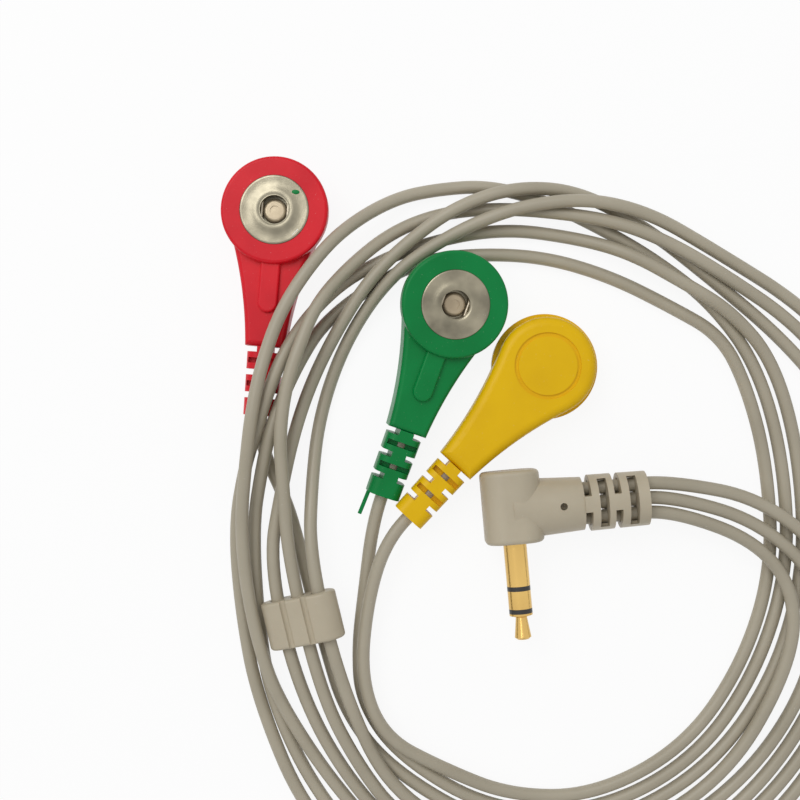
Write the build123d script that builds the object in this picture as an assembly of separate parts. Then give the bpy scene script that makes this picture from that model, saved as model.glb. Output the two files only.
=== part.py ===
from build123d import *
import math
import os

# Three-lead electrode lead set: a right-angle jack plug, a sliding lead comb and three
# snap connectors, joined by three thin leads. It lies on a flat surface at z = 0.

# leads
leadRadius = 1.0
wireRadius = 0.6
boreGap = 0.08
combGap = 0.08

# snap connector: its own frame has the head's centre at the origin, front up, tail along -Y
flangeRadius = 8.05
flangeBottom = 4.6
flangeTop = 7.0
bodyRadius = 7.4
bodyHeight = 5.5
bodyEnd = 20.4
bodyEndWidth = 6.0
shoulderAngle = 21.0
bodyBackEdge = 1.4
bodyFrontEdge = 0.8
flangeEdge = 0.5
ribWidth = 3.0
ribLength = 7.3
ribRise = 0.7
ribEdge = 0.35
backRingRadius = 4.7
backRingWidth = 0.6
backRingDepth = 0.3
reliefWidth = 5.4
reliefHeight = 5.0
reliefCorner = 1.6
reliefTaper = 0.95
reliefRings = 3
notchWidth = 0.9
ringWidth = 2.6
notchBridge = 2.2
slotLength = 4.7
slotWidth = 0.8
leadStart = 19.0

# snap socket in the connector's head
socketRadius = 5.2
socketBottom = 3.2
socketTop = 7.05
lipRadius = 2.95
lipRise = 0.15
throatRadius = 2.15
throatBottom = 6.3
chamberRadius = 2.75
chamberFloor = 5.0
postRadius = 0.8
domeRadius = 1.85
domeRise = 0.9
domeEdge = 0.6
dimpleRadius = 0.75
dimpleDepth = 0.2
springWire = 0.25
springGap = 3.95
lugThickness = 0.8
lugRadius = 2.2
lugWidth = 2.4
barrelRadius = 1.1
barrelLength = 5.0

# right-angle plug: its own frame has the pin's axis along Y and the leads leaving along +X
elbowSide = 8.8
elbowCorner = 3.2
elbowEdge = 0.7
elbowBelow = 5.0
elbowAbove = 5.9
neckRadius = 4.6
neckEndRadius = 4.0
neckEnd = 10.6
plugReliefEnd = 20.3
plugReliefRadius = 4.25
plugReliefTip = 4.1
plugNotchWidth = 1.05
plugNotchPitch = 4.45
plugBridge = 2.4
plugSlotWidth = 1.35
plugSlotLength = 7.2
plugSlotPlace = 2.35
ventRadius = 0.55
ventPlace = 7.4
ventDepth = 2.4
leadPitch = 2.2
channelGap = 0.2
plugLeadStart = 9.0
coreRadius = 3.3
coreTop = 3.4
pinRadius = 1.75
sleeveStem = 2.3
sleeveEnd = 6.5
bandLength = 0.7
ringLength = 2.7
pinLength = 14.6
tipNeckRadius = 0.85
tipRadius = 1.25
tipRod = 0.5
contactWall = 0.25
tabThickness = 0.4
tabWidth = 1.4
tabReach = 7.6

# lead comb
combWidth = 12.0
combThickness = 4.8
combLength = 7.3
combPitch = 3.4
grooveRadius = 0.5
grooveDepth = 0.5
combEdge = 0.5

# places of the rigid pieces
redHead = Pos(-24.3, 28.95, 0.0) * Rot(Z=-4.6)
greenHead = Pos(1.9, 15.3, 1.26) * Rot(Y=7.3) * Rot(X=5.3) * Rot(Z=-19.3)
yellowHead = Pos(16.6, 5.6, 7.25) * Rot(Z=-42.5) * Rot(Y=180)
plugPlace = Pos(11.35, -16.0, 5.15) * Rot(Z=5.0) * Rot(X=-1.5)
combTurn = 13.5
combRoll = 16.0
combPlace = Pos(-20.23, -32.77, 4.1) * Rot(Z=combTurn) * Rot(Y=-combRoll)

# routes of the leads, from the plug through the comb, twice round, to the connector
redRoute = [
    (20.51, -17.41, 5.21), (27.98, -16.75, 5.31), (35.45, -16.1, 5.21), (49, -21, 3.8), (55, -29.5, 3.4),
    (53.5, -41, 3.3), (44.5, -57.5, 1.8), (28.5, -67.5, 1), (10, -68.5, 1), (-6.5, -60.5, 2.2),
    (-14.37, -43.19, 5.04), (-19.2, -23.06, 5.04), (-19, -12, 2.2), (-18, -2.5, 1), (-15, 7, 1),
    (-10.5, 15, 2), (-5.5, 20.5, 3.6), (-0.5, 24, 3.3), (6, 27.5, 3.6), (13.5, 30, 4.5),
    (23, 31, 4.8), (32.5, 29, 3.4), (42, 24, 1.6), (57.5, 14.5, 1), (67, 3, 1),
    (71.5, -11.5, 1), (72.5, -28, 1), (65.5, -50.5, 1), (53, -67.5, 1), (34.5, -79, 1),
    (13.5, -82, 1), (-7, -75.5, 1), (-20, -63.5, 1), (-27.5, -45.5, 1), (-30, -32, 1),
    (-31, -19, 1.2), (-29, -9.5, 4.2), (-27, -4, 6.3), (-25.5, 1, 7), (-22.7, 8, 6.9),
    (-18.5, 14.5, 3.8), (-12.5, 20, 1.4), (-2.5, 24.5, 1), (10, 27, 1), (21.5, 25.5, 1),
    (29.5, 23, 3), (37.5, 18.5, 3.4), (45, 14, 3.2), (52, 6.5, 1.4), (56, -7.5, 1),
    (57, -25.5, 1), (52, -43, 1), (41.5, -57, 1), (25.5, -65.5, 1), (8.5, -65.5, 1),
    (-7, -56.5, 1), (-14, -47.5, 1), (-17, -37.5, 1), (-19.5, -28, 1), (-21, -22, 1),
    (-23, -15, 1), (-27.11, -5.94, 2.75), (-26.4, 2.04, 2.75), (-25.82, 10.01, 2.75)]
greenRoute = [
    (20.12, -13.02, 5.09), (27.6, -12.37, 5.19), (35.07, -11.72, 5.09), (50, -14.5, 4), (61.5, -25, 3.4),
    (60.5, -42.5, 1.6), (50.5, -59, 1), (35.5, -70.5, 1), (16.5, -74.5, 1), (-0.5, -70.5, 1.2),
    (-12, -60, 2), (-20.72, -44.72, 3.16), (-25.56, -24.59, 3.16), (-23.5, -13, 3.8), (-21.5, -4, 3.6),
    (-19, 3.5, 2), (-15.5, 10.5, 2.6), (-10.5, 18.5, 3.7), (-4.5, 24.5, 3.3), (3, 30, 3.2),
    (12, 33, 3.4), (22, 32.5, 2.2), (32.5, 27, 1), (41.5, 20, 1), (54, 9.5, 1),
    (62, -0.5, 1), (66.5, -12.5, 1), (67, -27, 1), (61, -48, 1), (49.5, -63.5, 1),
    (33, -74, 1), (14, -77, 1), (-4.5, -71, 1), (-15.5, -59, 1.4), (-24, -45.5, 3),
    (-27, -37, 3.4), (-29, -27, 3.8), (-29.5, -17.5, 5.2), (-28.5, -9, 7.5), (-27.5, -1.5, 8.9),
    (-26, 6, 8.3), (-23, 14.5, 7.7), (-17.5, 22.5, 7.3), (-12.5, 27.5, 4.8), (-6, 31.5, 2),
    (0.5, 33, 1), (8, 33.5, 1), (16, 31.5, 1), (25.5, 27, 1), (34, 22, 1),
    (42.5, 15.5, 1), (49.5, 6, 1), (53.5, -8, 1), (54.5, -25, 1), (49.5, -41.5, 1),
    (40, -55, 1), (25, -63, 1), (8.5, -62.8, 1), (-5.5, -54.5, 1), (-11.5, -46, 1),
    (-12, -37.5, 1), (-11, -29, 1), (-9.61, -17.85, 2.42), (-6.9, -10.33, 2.78), (-4.19, -2.81, 3.13)]
yellowRoute = [
    (20.32, -15.22, 5.15), (27.79, -14.56, 5.25), (35.26, -13.91, 5.15), (49.5, -18, 3.8), (59.5, -28, 3.4),
    (57, -44.5, 1.6), (46.5, -59.5, 1), (30, -69.5, 1), (11, -71, 1), (-5, -64.5, 1.6),
    (-12, -55, 3.4), (-17.55, -43.95, 4.1), (-22.38, -23.82, 4.1), (-23, -13, 6.2), (-23.5, -5, 7.6),
    (-22.5, 2.5, 8), (-20.5, 8.5, 8.2), (-18, 15, 6.6), (-13, 21, 4), (-6.5, 26.5, 1.6),
    (1.5, 29.5, 1), (10.5, 30, 1.2), (19.5, 29, 3.1), (28, 27.5, 3.4), (35.5, 24.5, 3.4),
    (43.5, 20, 2.8), (56, 12, 1), (64.5, 1, 1), (69, -12, 1), (70, -27.5, 1),
    (63, -49, 1), (51.5, -65.5, 1), (33.5, -76.5, 1), (13.5, -79.5, 1), (-6, -73.5, 1),
    (-18, -61, 1), (-25.5, -45.5, 1), (-27.5, -32, 1), (-28, -18.5, 2.2), (-26.5, -10.5, 4.8),
    (-25, -4, 6), (-23, 1.5, 5.2), (-20.5, 7, 3.2), (-17.5, 12, 1.3), (-11.5, 17, 1),
    (-2.5, 22, 1), (7, 23, 1.3), (17, 22.5, 1), (27, 19.5, 1), (36, 15, 1),
    (44, 10.5, 1), (48, 2.5, 1), (51, -9, 1), (52, -25, 1), (47.5, -40, 1),
    (38.5, -53, 1), (24.5, -60.5, 1), (11.5, -60.5, 1), (1, -56, 2), (-8, -51, 3.2),
    (-11.5, -42, 3.2), (-10.5, -30.5, 3.3), (-7.72, -20.94, 4.5), (-1.95, -14.7, 4.5), (3.76, -8.41, 4.5)]

os.makedirs("parts", exist_ok=True)


def save(name, shape):
    shape.label = name
    export_step(shape, f"parts/{name}.step")


def rod(radius, low, high):
    """A cylinder along Z between two heights."""
    return Pos(0, 0, low) * Cylinder(radius, high - low, align=(Align.CENTER, Align.CENTER, Align.MIN))


def alongTail(shape, height):
    """Turns a shape made along +Z so that it runs along -Y at a height."""
    return Pos(0, 0, height) * Rot(X=90) * shape


# ---- leads

def lead(name, route):
    points = [Vector(*p) for p in route]
    runs = [points[i + 1] - points[i] for i in range(len(points) - 1)]
    radii = []
    for before, after in zip(runs, runs[1:]):
        half = math.radians(before.get_angle(after) / 2)
        radii.append(0.45 * min(before.length, after.length) / math.tan(half))
    path = FilletPolyline(*route, radius=radii)
    tube = sweep(Plane(origin=path @ 0, z_dir=path % 0) * Circle(leadRadius), path=path)
    ratio = tube.volume / (math.pi * leadRadius ** 2 * path.length)
    print(name, "length", round(path.length, 1), "volume ratio", round(ratio, 4))
    print("  radii", [round(r, 1) for r in radii])
    save(name, tube)


# ---- snap connector

axisHeight = bodyHeight / 2
reliefLength = reliefRings * (notchWidth + ringWidth)
plateTop = socketBottom
plateBottom = plateTop - lugThickness
barrelEnd = leadStart - 0.5
barrelStart = barrelEnd - barrelLength


def teardrop():
    angle = math.radians(shoulderAngle)
    shoulder = (bodyRadius * math.cos(angle), -bodyRadius * math.sin(angle))
    corner = (bodyEndWidth / 2, -bodyEnd)
    side = TangentArc(shoulder, corner, tangent=(-math.sin(angle), -math.cos(angle)))
    end = Line(corner, (-corner[0], corner[1]))
    head = ThreePointArc(shoulder, (0, bodyRadius), (-shoulder[0], shoulder[1]))
    return make_face([head, side, end, mirror(side, about=Plane.YZ)])


def connectorRelief():
    root = RectangleRounded(reliefWidth, reliefHeight, reliefCorner)
    tip = Pos(0, 0, reliefLength) * scale(root, reliefTaper)
    tail = Pos(0, 0, bodyEnd) * loft([root, tip])
    depth = (reliefWidth - notchBridge) / 2
    slotDepth = reliefHeight / 2 - 0.9
    place = bodyEnd
    for ring in range(reliefRings):
        for side in (-1, 1):
            cut = Box(depth, reliefHeight, notchWidth)
            tail -= Pos(side * (notchBridge + depth) / 2, 0, place + notchWidth / 2) * cut
        if ring < reliefRings - 1:
            middle = place + notchWidth + ringWidth / 2
            for face in (-1, 1):
                cut = Box(slotLength, slotDepth, slotWidth)
                tail -= Pos(0, face * (reliefHeight - slotDepth) / 2, middle) * cut
        place += notchWidth + ringWidth
    return alongTail(tail, axisHeight)


def socketHousing():
    shell = rod(socketRadius, socketBottom, socketTop)
    shell = fillet(shell.edges().group_by(Axis.Z)[-1], 0.25)
    lip = rod(lipRadius, socketTop - 0.2, socketTop + lipRise)
    lip = fillet(lip.edges().group_by(Axis.Z)[-1], 0.12)
    shell += lip
    shell -= rod(throatRadius, throatBottom, flangeTop + 1)
    shell -= rod(chamberRadius, chamberFloor, throatBottom)
    shell -= rod(postRadius, socketBottom, chamberFloor)
    return shell


def socketPost():
    post = rod(postRadius, plateTop, chamberFloor)
    dome = rod(domeRadius, chamberFloor, chamberFloor + domeRise)
    dome = fillet(dome.edges().group_by(Axis.Z)[-1], domeEdge)
    dome -= rod(dimpleRadius, chamberFloor + domeRise - dimpleDepth, chamberFloor + domeRise)
    return post + dome


def socketSpring():
    reach = springGap / 2
    bendPlace = 0.9
    height = throatBottom - springWire
    first = Line((reach, -2.2, height), (reach, bendPlace, height))
    bend = ThreePointArc((reach, bendPlace, height), (0, bendPlace + reach, height), (-reach, bendPlace, height))
    last = Line((-reach, bendPlace, height), (-reach, -2.2, height))
    path = Wire([first, bend, last])
    return sweep(Plane(origin=(reach, -2.2, height), z_dir=(0, 1, 0)) * Circle(springWire), path=path)


def crimpLug():
    plate = rod(lugRadius, plateBottom, plateTop)
    middle = (plateBottom + plateTop) / 2
    plate += Pos(0, -barrelStart / 2, middle) * Box(lugWidth, barrelStart, lugThickness)
    plate += alongTail(rod(barrelRadius, barrelStart - 0.6, barrelEnd), axisHeight)
    return plate - wireEnd()


def wireEnd():
    return alongTail(rod(wireRadius, barrelStart, leadStart), axisHeight)


def connectorBody():
    body = extrude(teardrop(), bodyHeight)
    body = fillet(body.edges().group_by(Axis.Z)[0], bodyBackEdge)
    body = fillet(body.edges().group_by(Axis.Z)[-1], bodyFrontEdge)
    flange = rod(flangeRadius, flangeBottom, flangeTop)
    flange = fillet(flange.edges().group_by(Axis.Z)[-1], flangeEdge)
    rib = Pos(0, -flangeRadius - ribLength / 2 + 2.0) * SlotOverall(ribLength + 4.0, ribWidth, rotation=90)
    rib = extrude(Pos(0, 0, bodyHeight - 0.3) * rib, ribRise + 0.3)
    body += fillet(rib.edges().group_by(Axis.Z)[-1], ribEdge)
    body += flange
    body += connectorRelief()
    ring = Circle(backRingRadius + backRingWidth / 2) - Circle(backRingRadius - backRingWidth / 2)
    body -= extrude(ring, backRingDepth)
    body -= rod(socketRadius, socketBottom, flangeTop + 1)
    body -= crimpLug() + wireEnd()
    body -= alongTail(rod(leadRadius + boreGap, leadStart, bodyEnd + reliefLength + 1), axisHeight)
    return body


def connector(colour, place):
    save(f"{colour}_connector_body", place * connectorBody())
    save(f"{colour}_snap_socket", place * socketHousing())
    save(f"{colour}_socket_post", place * socketPost())
    save(f"{colour}_socket_spring", place * socketSpring())
    save(f"{colour}_crimp_lug", place * crimpLug())
    save(f"{colour}_wire_end", place * wireEnd())


# ---- plug

insulatorInner = tipRod + contactWall
ringTube = insulatorInner + contactWall
sleeveBore = ringTube + contactWall
firstBand = sleeveEnd
ringStart = firstBand + bandLength
secondBand = ringStart + ringLength
collarStart = secondBand + bandLength
redTab = -leadPitch - wireRadius
yellowTab = -wireRadius
greenTab = leadPitch - wireRadius


def turned(outline):
    """Revolves a closed outline of (radius, distance past the shoulder) about the pin's axis."""
    face = make_face(Polyline(*[(r, -elbowBelow - d) for r, d in outline], close=True))
    return revolve(face, axis=Axis.Y)


def back(place):
    """Distance past the shoulder of a place along Y."""
    return -elbowBelow - place


def plugSleeve():
    start = back(redTab - tabThickness)
    return turned([(sleeveBore, start), (sleeveStem, start), (sleeveStem, 0), (pinRadius, 0),
                   (pinRadius, sleeveEnd), (sleeveBore, sleeveEnd)])


def sleeveInsulator():
    start = back(yellowTab - tabThickness)
    return turned([(ringTube, start), (sleeveBore, start), (sleeveBore, firstBand), (pinRadius, firstBand),
                   (pinRadius, ringStart), (ringTube, ringStart)])


def plugRing():
    start = back(yellowTab - tabThickness)
    return turned([(insulatorInner, start), (ringTube, start), (ringTube, ringStart), (pinRadius, ringStart),
                   (pinRadius, secondBand), (insulatorInner, secondBand)])


def ringInsulator():
    start = back(greenTab - tabThickness)
    return turned([(tipRod, start), (insulatorInner, start), (insulatorInner, secondBand),
                   (pinRadius, secondBand), (pinRadius, collarStart), (tipRod, collarStart)])


def plugTip():
    start = back(greenTab - tabThickness)
    return turned([(0, start), (tipRod, start), (tipRod, collarStart), (pinRadius, collarStart),
                   (pinRadius, collarStart + 0.3), (tipNeckRadius, collarStart + 0.6),
                   (tipRadius, pinLength - 0.4), (0.9, pinLength - 0.1), (0.35, pinLength), (0, pinLength)])


def solderTab(place, hole):
    tab = Box(tabReach + 0.9, tabThickness, tabWidth, align=(Align.MIN, Align.MAX, Align.CENTER))
    tab = Pos(-0.9, place, 0) * tab
    ear = Pos(0, place - tabThickness / 2, 0) * Rot(X=90) * Cylinder(pinRadius + 0.35, tabThickness)
    tab += ear
    if hole:
        tab -= Pos(0, place - tabThickness / 2, 0) * Rot(X=90) * Cylinder(hole, 2 * tabThickness)
    return tab


def plugWire(place):
    return Pos(tabReach - 1.6, place, 0) * Rot(Y=90) * rod(wireRadius, 0, plugLeadStart - tabReach + 1.6)


def solderTabs():
    return solderTab(redTab, sleeveBore) + solderTab(yellowTab, insulatorInner) + solderTab(greenTab, 0)


def plugWires():
    return plugWire(-leadPitch) + plugWire(0) + plugWire(leadPitch)


def plugCore():
    core = Rot(X=90) * rod(coreRadius, -coreTop, elbowBelow)
    core -= solderTabs()
    for piece in (plugSleeve(), sleeveInsulator(), plugRing(), ringInsulator(), plugTip()):
        core -= piece
    return core


def plugRelief():
    length = plugReliefEnd - neckEnd
    sleeve = Rot(Y=90) * Cone(plugReliefRadius, plugReliefTip, length,
                              align=(Align.CENTER, Align.CENTER, Align.MIN))
    sleeve = Pos(neckEnd, 0, 0) * sleeve
    depth = plugReliefRadius - plugBridge / 2
    for ring in range(2):
        place = neckEnd + ring * plugNotchPitch + plugNotchWidth / 2
        for side in (-1, 1):
            cut = Box(plugNotchWidth, depth + 1, 2 * plugReliefRadius + 1)
            sleeve -= Pos(place, side * (plugBridge + depth + 1) / 2, 0) * cut
            cut = Box(plugSlotWidth, plugSlotLength, plugReliefRadius)
            sleeve -= Pos(place + plugSlotPlace, 0, side * (plugReliefRadius / 2 + 0.6)) * cut
    return sleeve


def plugBody():
    elbow = extrude(RectangleRounded(elbowSide, elbowSide, elbowCorner), elbowBelow + elbowAbove)
    ends = elbow.edges().group_by(Axis.Z)
    elbow = Rot(X=90) * Pos(0, 0, -elbowAbove) * fillet(ends[0] + ends[-1], elbowEdge)
    neck = Rot(Y=90) * Cone(neckRadius, neckEndRadius, neckEnd, align=(Align.CENTER, Align.CENTER, Align.MIN))
    body = elbow + neck + plugRelief()
    body -= Pos(ventPlace, 0, neckRadius - ventDepth) * Cylinder(
        ventRadius, 2 * ventDepth, align=(Align.CENTER, Align.CENTER, Align.MIN))
    body -= Rot(X=90) * rod(coreRadius, -coreTop, elbowBelow)
    body -= solderTabs() + plugWires()
    height = 2 * (leadRadius + channelGap)
    channel = SlotOverall(2 * leadPitch + height, height)
    channel = extrude(Plane.YZ * channel, plugReliefEnd - plugLeadStart + 1)
    return body - Pos(plugLeadStart, 0, 0) * channel


def plug():
    save("plug_body", plugPlace * plugBody())
    save("plug_core", plugPlace * plugCore())
    save("plug_sleeve_contact", plugPlace * plugSleeve())
    save("plug_sleeve_insulator", plugPlace * sleeveInsulator())
    save("plug_ring_contact", plugPlace * plugRing())
    save("plug_ring_insulator", plugPlace * ringInsulator())
    save("plug_tip_contact", plugPlace * plugTip())
    save("plug_sleeve_tab", plugPlace * solderTab(redTab, sleeveBore))
    save("plug_ring_tab", plugPlace * solderTab(yellowTab, insulatorInner))
    save("plug_tip_tab", plugPlace * solderTab(greenTab, 0))
    save("plug_red_wire_end", plugPlace * plugWire(-leadPitch))
    save("plug_yellow_wire_end", plugPlace * plugWire(0))
    save("plug_green_wire_end", plugPlace * plugWire(leadPitch))


# ---- comb

def comb():
    body = extrude(SlotOverall(combWidth, combThickness), combLength / 2, both=True)
    ends = body.edges().group_by(Axis.Z)
    body = fillet(ends[0] + ends[-1], combEdge)
    for side in (-1, 1):
        for face in (-1, 1):
            grooveHeight = face * (combThickness / 2 + grooveRadius - grooveDepth)
            body -= Pos(side * combPitch / 2, grooveHeight) * Cylinder(grooveRadius, combLength + 1)
    for place in (-combPitch, 0, combPitch):
        body -= Pos(place, 0) * Cylinder(leadRadius + combGap, combLength + 1)
    save("lead_comb", combPlace * Rot(X=90) * body)


plug()
comb()
connector("red", redHead)
connector("green", greenHead)
connector("yellow", yellowHead)
lead("lead_red", redRoute)
lead("lead_green", greenRoute)
lead("lead_yellow", yellowRoute)
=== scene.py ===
import bpy
import bmesh
import math
from mathutils import Matrix, Vector


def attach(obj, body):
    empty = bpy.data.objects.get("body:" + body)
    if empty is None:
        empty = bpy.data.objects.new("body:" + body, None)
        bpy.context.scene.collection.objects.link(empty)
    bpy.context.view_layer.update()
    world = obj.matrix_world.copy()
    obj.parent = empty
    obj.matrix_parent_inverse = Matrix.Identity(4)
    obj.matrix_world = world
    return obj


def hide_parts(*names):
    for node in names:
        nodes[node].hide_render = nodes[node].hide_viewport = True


# a three lead electrode set: plug, comb, three leads and three snap connectors

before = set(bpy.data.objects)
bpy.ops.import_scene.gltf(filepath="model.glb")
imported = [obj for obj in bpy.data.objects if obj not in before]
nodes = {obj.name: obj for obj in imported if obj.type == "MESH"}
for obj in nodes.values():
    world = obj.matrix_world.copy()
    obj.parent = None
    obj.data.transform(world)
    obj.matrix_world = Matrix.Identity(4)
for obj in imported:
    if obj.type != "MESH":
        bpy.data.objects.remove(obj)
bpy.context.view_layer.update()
scene = bpy.context.scene

# ---- camera

cameraSetup = {
    "place": (-0.0055, 0.0005, 0.190),
    "lens": 55.15,
}


def makeCamera(setup):
    data = bpy.data.cameras.new("camera")
    data.lens = setup["lens"]
    data.sensor_width = 36
    data.clip_start = 0.005
    data.clip_end = 10
    camera = bpy.data.objects.new("camera", data)
    camera.location = setup["place"]  # straight above, looking down
    scene.collection.objects.link(camera)
    scene.camera = camera


makeCamera(cameraSetup)
print("camera made")

# ---- leads

leadSetup = {
    "thickness": 0.002,
    "stiffness": "limp",
    "ringSides": 6,
    "steps": 10,
}
leadRoutes = {
    "red": [
        (0.02051, -0.01741, 0.00521), (0.02798, -0.01675, 0.00531), (0.03545, -0.0161, 0.00521),
        (0.049, -0.021, 0.0038), (0.055, -0.0295, 0.0034), (0.0535, -0.041, 0.0033),
        (0.0445, -0.0575, 0.0018), (0.0285, -0.0675, 0.001), (0.01, -0.0685, 0.001),
        (-0.0065, -0.0605, 0.0022), (-0.01437, -0.04319, 0.00504), (-0.0192, -0.02306, 0.00504),
        (-0.019, -0.012, 0.0022), (-0.018, -0.0025, 0.001), (-0.015, 0.007, 0.001),
        (-0.0105, 0.015, 0.002), (-0.0055, 0.0205, 0.0036), (-0.0005, 0.024, 0.0033),
        (0.006, 0.0275, 0.0036), (0.0135, 0.03, 0.0045), (0.023, 0.031, 0.0048),
        (0.0325, 0.029, 0.0034), (0.042, 0.024, 0.0016), (0.0575, 0.0145, 0.001),
        (0.067, 0.003, 0.001), (0.0715, -0.0115, 0.001), (0.0725, -0.028, 0.001),
        (0.0655, -0.0505, 0.001), (0.053, -0.0675, 0.001), (0.0345, -0.079, 0.001),
        (0.0135, -0.082, 0.001), (-0.007, -0.0755, 0.001), (-0.02, -0.0635, 0.001),
        (-0.0275, -0.0455, 0.001), (-0.03, -0.032, 0.001), (-0.031, -0.019, 0.0012),
        (-0.029, -0.0095, 0.0042), (-0.027, -0.004, 0.0063), (-0.0255, 0.001, 0.007),
        (-0.0227, 0.008, 0.0069), (-0.0185, 0.0145, 0.0038), (-0.0125, 0.02, 0.0014),
        (-0.0025, 0.0245, 0.001), (0.01, 0.027, 0.001), (0.0215, 0.0255, 0.001),
        (0.0295, 0.023, 0.003), (0.0375, 0.0185, 0.0034), (0.045, 0.014, 0.0032),
        (0.052, 0.0065, 0.0014), (0.056, -0.0075, 0.001), (0.057, -0.0255, 0.001),
        (0.052, -0.043, 0.001), (0.0415, -0.057, 0.001), (0.0255, -0.0655, 0.001),
        (0.0085, -0.0655, 0.001), (-0.007, -0.0565, 0.001), (-0.014, -0.0475, 0.001),
        (-0.017, -0.0375, 0.001), (-0.0195, -0.028, 0.001), (-0.021, -0.022, 0.001),
        (-0.023, -0.015, 0.001), (-0.02711, -0.00594, 0.00275), (-0.0264, 0.00204, 0.00275),
        (-0.02582, 0.01001, 0.00275),
    ],
    "green": [
        (0.02012, -0.01302, 0.00509), (0.0276, -0.01237, 0.00519), (0.03507, -0.01172, 0.00509),
        (0.05, -0.0145, 0.004), (0.0615, -0.025, 0.0034), (0.0605, -0.0425, 0.0016),
        (0.0505, -0.059, 0.001), (0.0355, -0.0705, 0.001), (0.0165, -0.0745, 0.001),
        (-0.0005, -0.0705, 0.0012), (-0.012, -0.06, 0.002), (-0.02072, -0.04472, 0.00316),
        (-0.02556, -0.02459, 0.00316), (-0.0235, -0.013, 0.0038), (-0.0215, -0.004, 0.0036),
        (-0.019, 0.0035, 0.002), (-0.0155, 0.0105, 0.0026), (-0.0105, 0.0185, 0.0037),
        (-0.0045, 0.0245, 0.0033), (0.003, 0.03, 0.0032), (0.012, 0.033, 0.0034),
        (0.022, 0.0325, 0.0022), (0.0325, 0.027, 0.001), (0.0415, 0.02, 0.001),
        (0.054, 0.0095, 0.001), (0.062, -0.0005, 0.001), (0.0665, -0.0125, 0.001),
        (0.067, -0.027, 0.001), (0.061, -0.048, 0.001), (0.0495, -0.0635, 0.001),
        (0.033, -0.074, 0.001), (0.014, -0.077, 0.001), (-0.0045, -0.071, 0.001),
        (-0.0155, -0.059, 0.0014), (-0.024, -0.0455, 0.003), (-0.027, -0.037, 0.0034),
        (-0.029, -0.027, 0.0038), (-0.0295, -0.0175, 0.0052), (-0.0285, -0.009, 0.0075),
        (-0.0275, -0.0015, 0.0089), (-0.026, 0.006, 0.0083), (-0.023, 0.0145, 0.0077),
        (-0.0175, 0.0225, 0.0073), (-0.0125, 0.0275, 0.0048), (-0.006, 0.0315, 0.002),
        (0.0005, 0.033, 0.001), (0.008, 0.0335, 0.001), (0.016, 0.0315, 0.001),
        (0.0255, 0.027, 0.001), (0.034, 0.022, 0.001), (0.0425, 0.0155, 0.001),
        (0.0495, 0.006, 0.001), (0.0535, -0.008, 0.001), (0.0545, -0.025, 0.001),
        (0.0495, -0.0415, 0.001), (0.04, -0.055, 0.001), (0.025, -0.063, 0.001),
        (0.0085, -0.0628, 0.001), (-0.0055, -0.0545, 0.001), (-0.0115, -0.046, 0.001),
        (-0.012, -0.0375, 0.001), (-0.011, -0.029, 0.001), (-0.00961, -0.01785, 0.00242),
        (-0.0069, -0.01033, 0.00278), (-0.00419, -0.00281, 0.00313),
    ],
    "yellow": [
        (0.02032, -0.01522, 0.00515), (0.02779, -0.01456, 0.00525), (0.03526, -0.01391, 0.00515),
        (0.0495, -0.018, 0.0038), (0.0595, -0.028, 0.0034), (0.057, -0.0445, 0.0016),
        (0.0465, -0.0595, 0.001), (0.03, -0.0695, 0.001), (0.011, -0.071, 0.001),
        (-0.005, -0.0645, 0.0016), (-0.012, -0.055, 0.0034), (-0.01755, -0.04395, 0.0041),
        (-0.02238, -0.02382, 0.0041), (-0.023, -0.013, 0.0062), (-0.0235, -0.005, 0.0076),
        (-0.0225, 0.0025, 0.008), (-0.0205, 0.0085, 0.0082), (-0.018, 0.015, 0.0066),
        (-0.013, 0.021, 0.004), (-0.0065, 0.0265, 0.0016), (0.0015, 0.0295, 0.001),
        (0.0105, 0.03, 0.0012), (0.0195, 0.029, 0.0031), (0.028, 0.0275, 0.0034),
        (0.0355, 0.0245, 0.0034), (0.0435, 0.02, 0.0028), (0.056, 0.012, 0.001),
        (0.0645, 0.001, 0.001), (0.069, -0.012, 0.001), (0.07, -0.0275, 0.001),
        (0.063, -0.049, 0.001), (0.0515, -0.0655, 0.001), (0.0335, -0.0765, 0.001),
        (0.0135, -0.0795, 0.001), (-0.006, -0.0735, 0.001), (-0.018, -0.061, 0.001),
        (-0.0255, -0.0455, 0.001), (-0.0275, -0.032, 0.001), (-0.028, -0.0185, 0.0022),
        (-0.0265, -0.0105, 0.0048), (-0.025, -0.004, 0.006), (-0.023, 0.0015, 0.0052),
        (-0.0205, 0.007, 0.0032), (-0.0175, 0.012, 0.0013), (-0.0115, 0.017, 0.001),
        (-0.0025, 0.022, 0.001), (0.007, 0.023, 0.0013), (0.017, 0.0225, 0.001),
        (0.027, 0.0195, 0.001), (0.036, 0.015, 0.001), (0.044, 0.0105, 0.001),
        (0.048, 0.0025, 0.001), (0.051, -0.009, 0.001), (0.052, -0.025, 0.001),
        (0.0475, -0.04, 0.001), (0.0385, -0.053, 0.001), (0.0245, -0.0605, 0.001),
        (0.0115, -0.0605, 0.001), (0.001, -0.056, 0.002), (-0.008, -0.051, 0.0032),
        (-0.0115, -0.042, 0.0032), (-0.0105, -0.0305, 0.0033), (-0.00772, -0.02094, 0.0045),
        (-0.00195, -0.0147, 0.0045), (0.00376, -0.00841, 0.0045),
    ],
}


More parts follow.
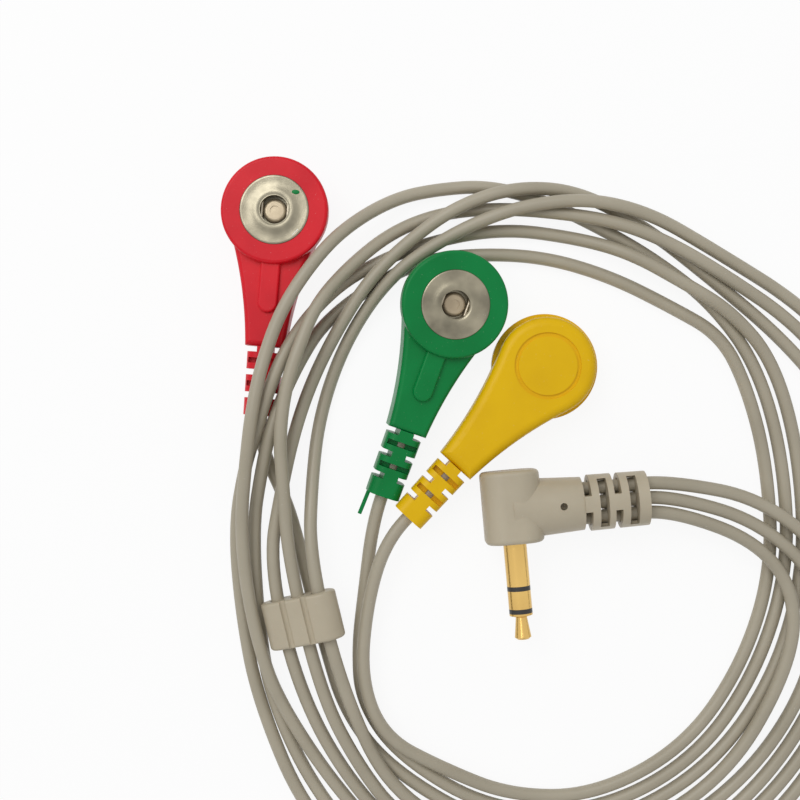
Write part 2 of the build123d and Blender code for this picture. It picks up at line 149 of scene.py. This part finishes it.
def makeLead(colour, setup):
    points = leadRoutes[colour]
    data = bpy.data.curves.new(f"{colour}Lead", "CURVE")
    data.dimensions = "3D"
    spline = data.splines.new("NURBS")
    spline.points.add(len(points) - 1)
    for point, place in zip(spline.points, points):
        point.co = (*place, 1)
        point.radius = setup["thickness"] / 2  # the box round a curve counts this radius in metres
    spline.order_u = 3
    spline.use_endpoint_u = True
    spline.resolution_u = setup["steps"]
    data.bevel_depth = 1.0
    data.bevel_resolution = setup["ringSides"]
    data.use_fill_caps = True
    lead = bpy.data.objects.new(f"{colour}Lead", data)
    scene.collection.objects.link(lead)
    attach(lead, "lead_set")
    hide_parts(f"lead_{colour}")
    return lead


leads = {colour: makeLead(colour, leadSetup) for colour in leadRoutes}
print("leads made")

# ---- shared shader groups


def newGroup(name, inputs, outputs):
    group = bpy.data.node_groups.new(name, "ShaderNodeTree")
    for kind, label, value in inputs:
        socket = group.interface.new_socket(label, in_out="INPUT", socket_type=kind)
        if value is not None:
            socket.default_value = value
    for kind, label in outputs:
        group.interface.new_socket(label, in_out="OUTPUT", socket_type=kind)
    return group, group.nodes.new("NodeGroupInput"), group.nodes.new("NodeGroupOutput")


def addMath(tree, operation, first, second):
    node = tree.nodes.new("ShaderNodeMath")
    node.operation = operation
    for socket, value in zip(node.inputs, (first, second)):
        if isinstance(value, (int, float)):
            socket.default_value = value
        else:
            tree.links.new(value, socket)
    return node.outputs[0]


def addNoise(tree, vector, scale, detail):
    node = tree.nodes.new("ShaderNodeTexNoise")
    node.inputs["Detail"].default_value = detail
    tree.links.new(vector, node.inputs["Vector"])
    if isinstance(scale, (int, float)):
        node.inputs["Scale"].default_value = scale
    else:
        tree.links.new(scale, node.inputs["Scale"])
    return node.outputs["Fac"]


def addMix(tree, factor, first, second, blend="MIX"):
    node = tree.nodes.new("ShaderNodeMix")
    node.data_type = "RGBA"
    node.blend_type = blend
    if isinstance(factor, (int, float)):
        node.inputs[0].default_value = factor
    else:
        tree.links.new(factor, node.inputs[0])
    for socket, value in zip((node.inputs[6], node.inputs[7]), (first, second)):
        if isinstance(value, tuple):
            socket.default_value = value
        else:
            tree.links.new(value, socket)
    return node.outputs[2]


def addRange(tree, value, low, high, newLow, newHigh):
    node = tree.nodes.new("ShaderNodeMapRange")
    tree.links.new(value, node.inputs[0])
    for index, number in zip((1, 2, 3, 4), (low, high, newLow, newHigh)):
        if isinstance(number, (int, float)):
            node.inputs[index].default_value = number
        else:
            tree.links.new(number, node.inputs[index])
    return node.outputs[0]


def makeMottleGroup():
    # slow patches of tone, fine grain and faint specks of dust
    group, given, result = newGroup(
        "mottle",
        [("NodeSocketVector", "Vector", None), ("NodeSocketColor", "Tone", (1, 1, 1, 1)),
         ("NodeSocketColor", "Patch Tone", (1, 1, 1, 1)), ("NodeSocketFloat", "Patch Scale", 120.0),
         ("NodeSocketFloat", "Grain Scale", 4000.0), ("NodeSocketFloat", "Gloss", 0.35),
         ("NodeSocketFloat", "Gloss Change", 0.1)],
        [("NodeSocketColor", "Color"), ("NodeSocketFloat", "Roughness"), ("NodeSocketFloat", "Height")])
    vector = given.outputs["Vector"]
    patch = addNoise(group, vector, given.outputs["Patch Scale"], 3.0)
    grain = addNoise(group, vector, given.outputs["Grain Scale"], 2.0)
    mask = addRange(group, patch, 0.35, 0.68, 0.0, 1.0)
    color = addMix(group, mask, given.outputs["Tone"], given.outputs["Patch Tone"])
    speck = addRange(group, grain, 0.71, 0.78, 0.0, 0.16)
    color = addMix(group, speck, color, (0.9, 0.88, 0.84, 1), "SCREEN")
    change = addMath(group, "MULTIPLY", addMath(group, "SUBTRACT", patch, 0.5), given.outputs["Gloss Change"])
    rough = addMath(group, "ADD", given.outputs["Gloss"], addMath(group, "MULTIPLY", change, 2.0))
    rough = addMath(group, "ADD", rough, addMath(group, "MULTIPLY", speck, 0.3))
    height = addMath(group, "ADD", grain, addMath(group, "MULTIPLY", patch, 2.0))
    group.links.new(color, result.inputs["Color"])
    group.links.new(rough, result.inputs["Roughness"])
    group.links.new(height, result.inputs["Height"])
    return group


mottle = makeMottleGroup()


def newMaterial(name):
    material = bpy.data.materials.new(name)
    material.use_nodes = True
    tree = material.node_tree
    shader = tree.nodes["Principled BSDF"]
    coordinates = tree.nodes.new("ShaderNodeTexCoord")
    return material, tree, shader, coordinates.outputs["Object"]


def surfaceMaterial(name, look):
    material, tree, shader, vector = newMaterial(name)
    surface = tree.nodes.new("ShaderNodeGroup")
    surface.node_tree = mottle
    tree.links.new(vector, surface.inputs["Vector"])
    surface.inputs["Tone"].default_value = (*look["tone"], 1)
    surface.inputs["Patch Tone"].default_value = (*look["patchTone"], 1)
    surface.inputs["Patch Scale"].default_value = look["patchScale"]
    surface.inputs["Grain Scale"].default_value = look["grainScale"]
    surface.inputs["Gloss"].default_value = look["gloss"]
    surface.inputs["Gloss Change"].default_value = look["glossChange"]
    bump = tree.nodes.new("ShaderNodeBump")
    bump.inputs["Strength"].default_value = look["bump"]
    bump.inputs["Distance"].default_value = 0.00003
    tree.links.new(surface.outputs["Height"], bump.inputs["Height"])
    tree.links.new(surface.outputs["Color"], shader.inputs["Base Color"])
    tree.links.new(surface.outputs["Roughness"], shader.inputs["Roughness"])
    tree.links.new(bump.outputs["Normal"], shader.inputs["Normal"])
    shader.inputs["Metallic"].default_value = look.get("metal", 0.0)
    shader.inputs["Specular IOR Level"].default_value = look.get("specular", 0.5)
    shader.inputs["Subsurface Weight"].default_value = look.get("soft", 0.0)
    shader.inputs["Subsurface Radius"].default_value = (0.6, 0.4, 0.3)
    shader.inputs["Subsurface Scale"].default_value = 0.0006
    return material


looks = {
    "redShell": {"tone": (0.76, 0.006, 0.018), "patchTone": (0.66, 0.005, 0.017), "patchScale": 140,
                 "grainScale": 3500, "gloss": 0.38, "glossChange": 0.12, "bump": 0.25, "specular": 0.28},
    "greenShell": {"tone": (0.0003, 0.232, 0.052), "patchTone": (0.0003, 0.198, 0.043), "patchScale": 150,
                   "grainScale": 3500, "gloss": 0.36, "glossChange": 0.12, "bump": 0.25, "specular": 0.2},
    "yellowShell": {"tone": (0.87, 0.535, 0.002), "patchTone": (0.81, 0.485, 0.002), "patchScale": 140,
                    "grainScale": 3500, "gloss": 0.38, "glossChange": 0.12, "bump": 0.25, "specular": 0.2},
    "plugShell": {"tone": (0.53, 0.465, 0.345), "patchTone": (0.475, 0.415, 0.305), "patchScale": 130,
                  "grainScale": 3000, "gloss": 0.42, "glossChange": 0.12, "bump": 0.35, "soft": 0.1},
    "leadJacket": {"tone": (0.45, 0.405, 0.31), "patchTone": (0.39, 0.35, 0.265), "patchScale": 70,
                   "grainScale": 2600, "gloss": 0.42, "glossChange": 0.1, "bump": 0.3, "soft": 0.05},
    "nickel": {"tone": (0.36, 0.325, 0.24), "patchTone": (0.17, 0.155, 0.115), "patchScale": 210,
               "grainScale": 5200, "gloss": 0.34, "glossChange": 0.2, "bump": 0.45, "metal": 1.0},
    "post": {"tone": (0.58, 0.48, 0.33), "patchTone": (0.42, 0.34, 0.23), "patchScale": 300,
             "grainScale": 5200, "gloss": 0.36, "glossChange": 0.2, "bump": 0.5, "metal": 0.4},
    "spring": {"tone": (0.46, 0.41, 0.32), "patchTone": (0.30, 0.26, 0.20), "patchScale": 400,
               "grainScale": 6000, "gloss": 0.28, "glossChange": 0.1, "bump": 0.3, "metal": 1.0},
    "gold": {"tone": (0.78, 0.52, 0.17), "patchTone": (0.62, 0.40, 0.13), "patchScale": 60,
             "grainScale": 5200, "gloss": 0.22, "glossChange": 0.1, "bump": 0.3, "metal": 1.0},
    "tin": {"tone": (0.60, 0.60, 0.58), "patchTone": (0.45, 0.45, 0.44), "patchScale": 300,
            "grainScale": 5200, "gloss": 0.4, "glossChange": 0.1, "bump": 0.4, "metal": 1.0},
    "copper": {"tone": (0.70, 0.34, 0.18), "patchTone": (0.55, 0.25, 0.13), "patchScale": 500,
               "grainScale": 5200, "gloss": 0.35, "glossChange": 0.1, "bump": 0.4, "metal": 1.0},
    "black": {"tone": (0.018, 0.017, 0.016), "patchTone": (0.028, 0.026, 0.024), "patchScale": 200,
              "grainScale": 4000, "gloss": 0.4, "glossChange": 0.1, "bump": 0.3},
}
materials = {name: surfaceMaterial(name, look) for name, look in looks.items()}
print("materials made")


def dress(name, material):
    data = nodes[name].data
    data.materials.clear()
    data.materials.append(materials[material])


for colour in ("red", "green", "yellow"):
    dress(f"{colour}_connector_body", f"{colour}Shell")
    dress(f"{colour}_snap_socket", "nickel")
    dress(f"{colour}_socket_post", "post")
    dress(f"{colour}_socket_spring", "spring")
    dress(f"{colour}_crimp_lug", "tin")
    dress(f"{colour}_wire_end", "copper")
    dress(f"plug_{colour}_wire_end", "copper")
    leads[colour].data.materials.append(materials["leadJacket"])
for name in ("plug_body", "lead_comb"):
    dress(name, "plugShell")
for name in ("plug_core", "plug_sleeve_insulator", "plug_ring_insulator"):
    dress(name, "black")
for name in ("plug_sleeve_contact", "plug_ring_contact", "plug_tip_contact"):
    dress(name, "gold")
for name in ("plug_sleeve_tab", "plug_ring_tab", "plug_tip_tab"):
    dress(name, "tin")
print("pieces dressed")

# ---- small marks: moulding flash on green, a fleck and a scratch on red's socket

flashSetup = {
    "start": (-0.0022, -0.0302, 0.0030),
    "end": (-0.0024, -0.0347, 0.0032),
    "width": 0.0006,
    "height": 0.00025,
}
fleckSetup = {
    "place": (0.0030, 0.00285, 0.00716),
    "radius": 0.00058,
    "stretch": (1.0, 0.55, 0.12),
}
scratchSetup = {
    "start": (0.0030, -0.0036, 0.00709),
    "end": (0.0038, -0.0026, 0.00709),
    "width": 0.00008,
    "height": 0.00003,
}
edgeShare = 0.35
greenTilt = Matrix.Rotation(math.radians(7.3), 4, "Y") @ Matrix.Rotation(math.radians(5.3), 4, "X")
headPlaces = {
    "red": Matrix.Translation((-0.0243, 0.02895, 0)) @ Matrix.Rotation(math.radians(-4.6), 4, "Z"),
    "green": Matrix.Translation((0.0019, 0.0153, 0.00126)) @ greenTilt
    @ Matrix.Rotation(math.radians(-19.3), 4, "Z"),
    "yellow": Matrix.Translation((0.0166, 0.0056, 0.00725)) @ Matrix.Rotation(math.radians(-42.5), 4, "Z")
    @ Matrix.Rotation(math.pi, 4, "Y"),
}


def finishMesh(form, name, material, place):
    form.transform(place)
    data = bpy.data.meshes.new(name)
    form.to_mesh(data)
    form.free()
    data.shade_smooth()
    data.materials.append(materials[material])
    piece = bpy.data.objects.new(name, data)
    scene.collection.objects.link(piece)
    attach(piece, "lead_set")


def makeStrip(name, setup, material, place):
    # a thin bevelled strip from one point to another
    start = Vector(setup["start"])
    along = Vector(setup["end"]) - start
    turn = along.to_track_quat("X", "Z").to_matrix().to_4x4()
    form = bmesh.new()
    bmesh.ops.create_cube(form, size=1.0)
    bmesh.ops.scale(form, vec=(along.length, setup["width"], setup["height"]), verts=form.verts)
    bmesh.ops.bevel(form, geom=form.edges[:], offset=setup["height"] * edgeShare, affect="EDGES",
                    segments=3, profile=0.5, material=-1)
    bmesh.ops.transform(form, matrix=Matrix.Translation(start + along / 2) @ turn, verts=form.verts)
    finishMesh(form, name, material, place)


def makeFleck(setup):
    form = bmesh.new()
    bmesh.ops.create_uvsphere(form, u_segments=32, v_segments=16, radius=setup["radius"])
    bmesh.ops.scale(form, vec=setup["stretch"], verts=form.verts)
    place = headPlaces["red"] @ Matrix.Translation(setup["place"])
    finishMesh(form, "greenFleck", "greenShell", place)


makeStrip("greenFlash", flashSetup, "greenShell", headPlaces["green"])
makeStrip("socketScratch", scratchSetup, "tin", headPlaces["red"])
makeFleck(fleckSetup)
print("small marks made")

# ---- rolled face of each snap socket

socketSetup = {
    "steps": 96,
    "outline": [
        (0.00516, 0.00696), (0.00517, 0.00706), (0.00508, 0.00713), (0.00485, 0.00712),
        (0.00440, 0.00708), (0.00390, 0.00708), (0.00345, 0.00714), (0.00312, 0.00723),
        (0.00285, 0.00729), (0.00258, 0.00730), (0.00236, 0.00726), (0.00222, 0.00718),
        (0.00216, 0.00708),
    ],
}


def makeSocketFace(colour, setup):
    form = bmesh.new()
    ring = [form.verts.new((radius, 0, height)) for radius, height in setup["outline"]]
    edges = [form.edges.new(pair) for pair in zip(ring, ring[1:])]
    bmesh.ops.spin(form, geom=ring + edges, cent=(0, 0, 0), axis=(0, 0, 1), angle=math.tau,
                   steps=setup["steps"], use_merge=True)
    bmesh.ops.recalc_face_normals(form, faces=form.faces)
    finishMesh(form, f"{colour}SocketFace", "nickel", headPlaces[colour])


for colour in headPlaces:
    makeSocketFace(colour, socketSetup)
print("socket faces made")

# ---- stage and light

lightSetup = {
    "worldFill": 0.5,
    "keyPower": 1.5,
    "keyPlace": (-0.22, 0.26, 0.52),
    "keySize": 0.42,
    "floorWhite": 0.90,
    "floorHalf": 1.5,
    "floorDrop": 0.0001,
}


def makeFloor(setup):
    form = bmesh.new()
    bmesh.ops.create_grid(form, x_segments=1, y_segments=1, size=setup["floorHalf"],
                          matrix=Matrix.Translation((0, 0, -setup["floorDrop"])))
    data = bpy.data.meshes.new("floor")
    form.to_mesh(data)
    form.free()
    floor = bpy.data.objects.new("floor", data)
    scene.collection.objects.link(floor)
    material = bpy.data.materials.new("paleFloor")
    material.use_nodes = True
    tree = material.node_tree
    tree.nodes.clear()
    output = tree.nodes.new("ShaderNodeOutputMaterial")
    paint = tree.nodes.new("ShaderNodeBsdfDiffuse")
    paint.inputs["Color"].default_value = (1.0, 1.0, 1.0, 1)
    glow = tree.nodes.new("ShaderNodeEmission")
    mix = tree.nodes.new("ShaderNodeMixShader")
    rays = tree.nodes.new("ShaderNodeLightPath")
    seen = addMath(tree, "MAXIMUM", rays.outputs["Is Camera Ray"], rays.outputs["Is Glossy Ray"])
    seen = addMath(tree, "MAXIMUM", seen, rays.outputs["Is Transmission Ray"])
    share = addMath(tree, "MULTIPLY", seen, setup["floorWhite"])
    tree.links.new(share, mix.inputs[0])
    tree.links.new(paint.outputs[0], mix.inputs[1])
    tree.links.new(glow.outputs[0], mix.inputs[2])
    tree.links.new(mix.outputs[0], output.inputs["Surface"])
    data.materials.append(material)


def makeWorld(setup):
    world = bpy.data.worlds.new("studio")
    world.use_nodes = True
    scene.world = world
    tree = world.node_tree
    tree.nodes.clear()
    output = tree.nodes.new("ShaderNodeOutputWorld")
    background = tree.nodes.new("ShaderNodeBackground")
    rays = tree.nodes.new("ShaderNodeLightPath")
    seen = addMath(tree, "MAXIMUM", rays.outputs["Is Camera Ray"], rays.outputs["Is Glossy Ray"])
    seen = addMath(tree, "MAXIMUM", seen, rays.outputs["Is Transmission Ray"])
    strength = addRange(tree, seen, 0.0, 1.0, setup["worldFill"], 1.0)
    background.inputs["Color"].default_value = (1, 1, 1, 1)
    tree.links.new(strength, background.inputs["Strength"])
    tree.links.new(background.outputs[0], output.inputs["Surface"])


def makeKey(setup):
    data = bpy.data.lights.new("key", "AREA")
    data.energy = setup["keyPower"]
    data.size = setup["keySize"]
    key = bpy.data.objects.new("key", data)
    key.location = setup["keyPlace"]
    key.rotation_euler = (-Vector(setup["keyPlace"])).to_track_quat("-Z", "Y").to_euler()
    scene.collection.objects.link(key)


makeFloor(lightSetup)
makeWorld(lightSetup)
makeKey(lightSetup)
scene.view_settings.view_transform = "Standard"
print("stage made")
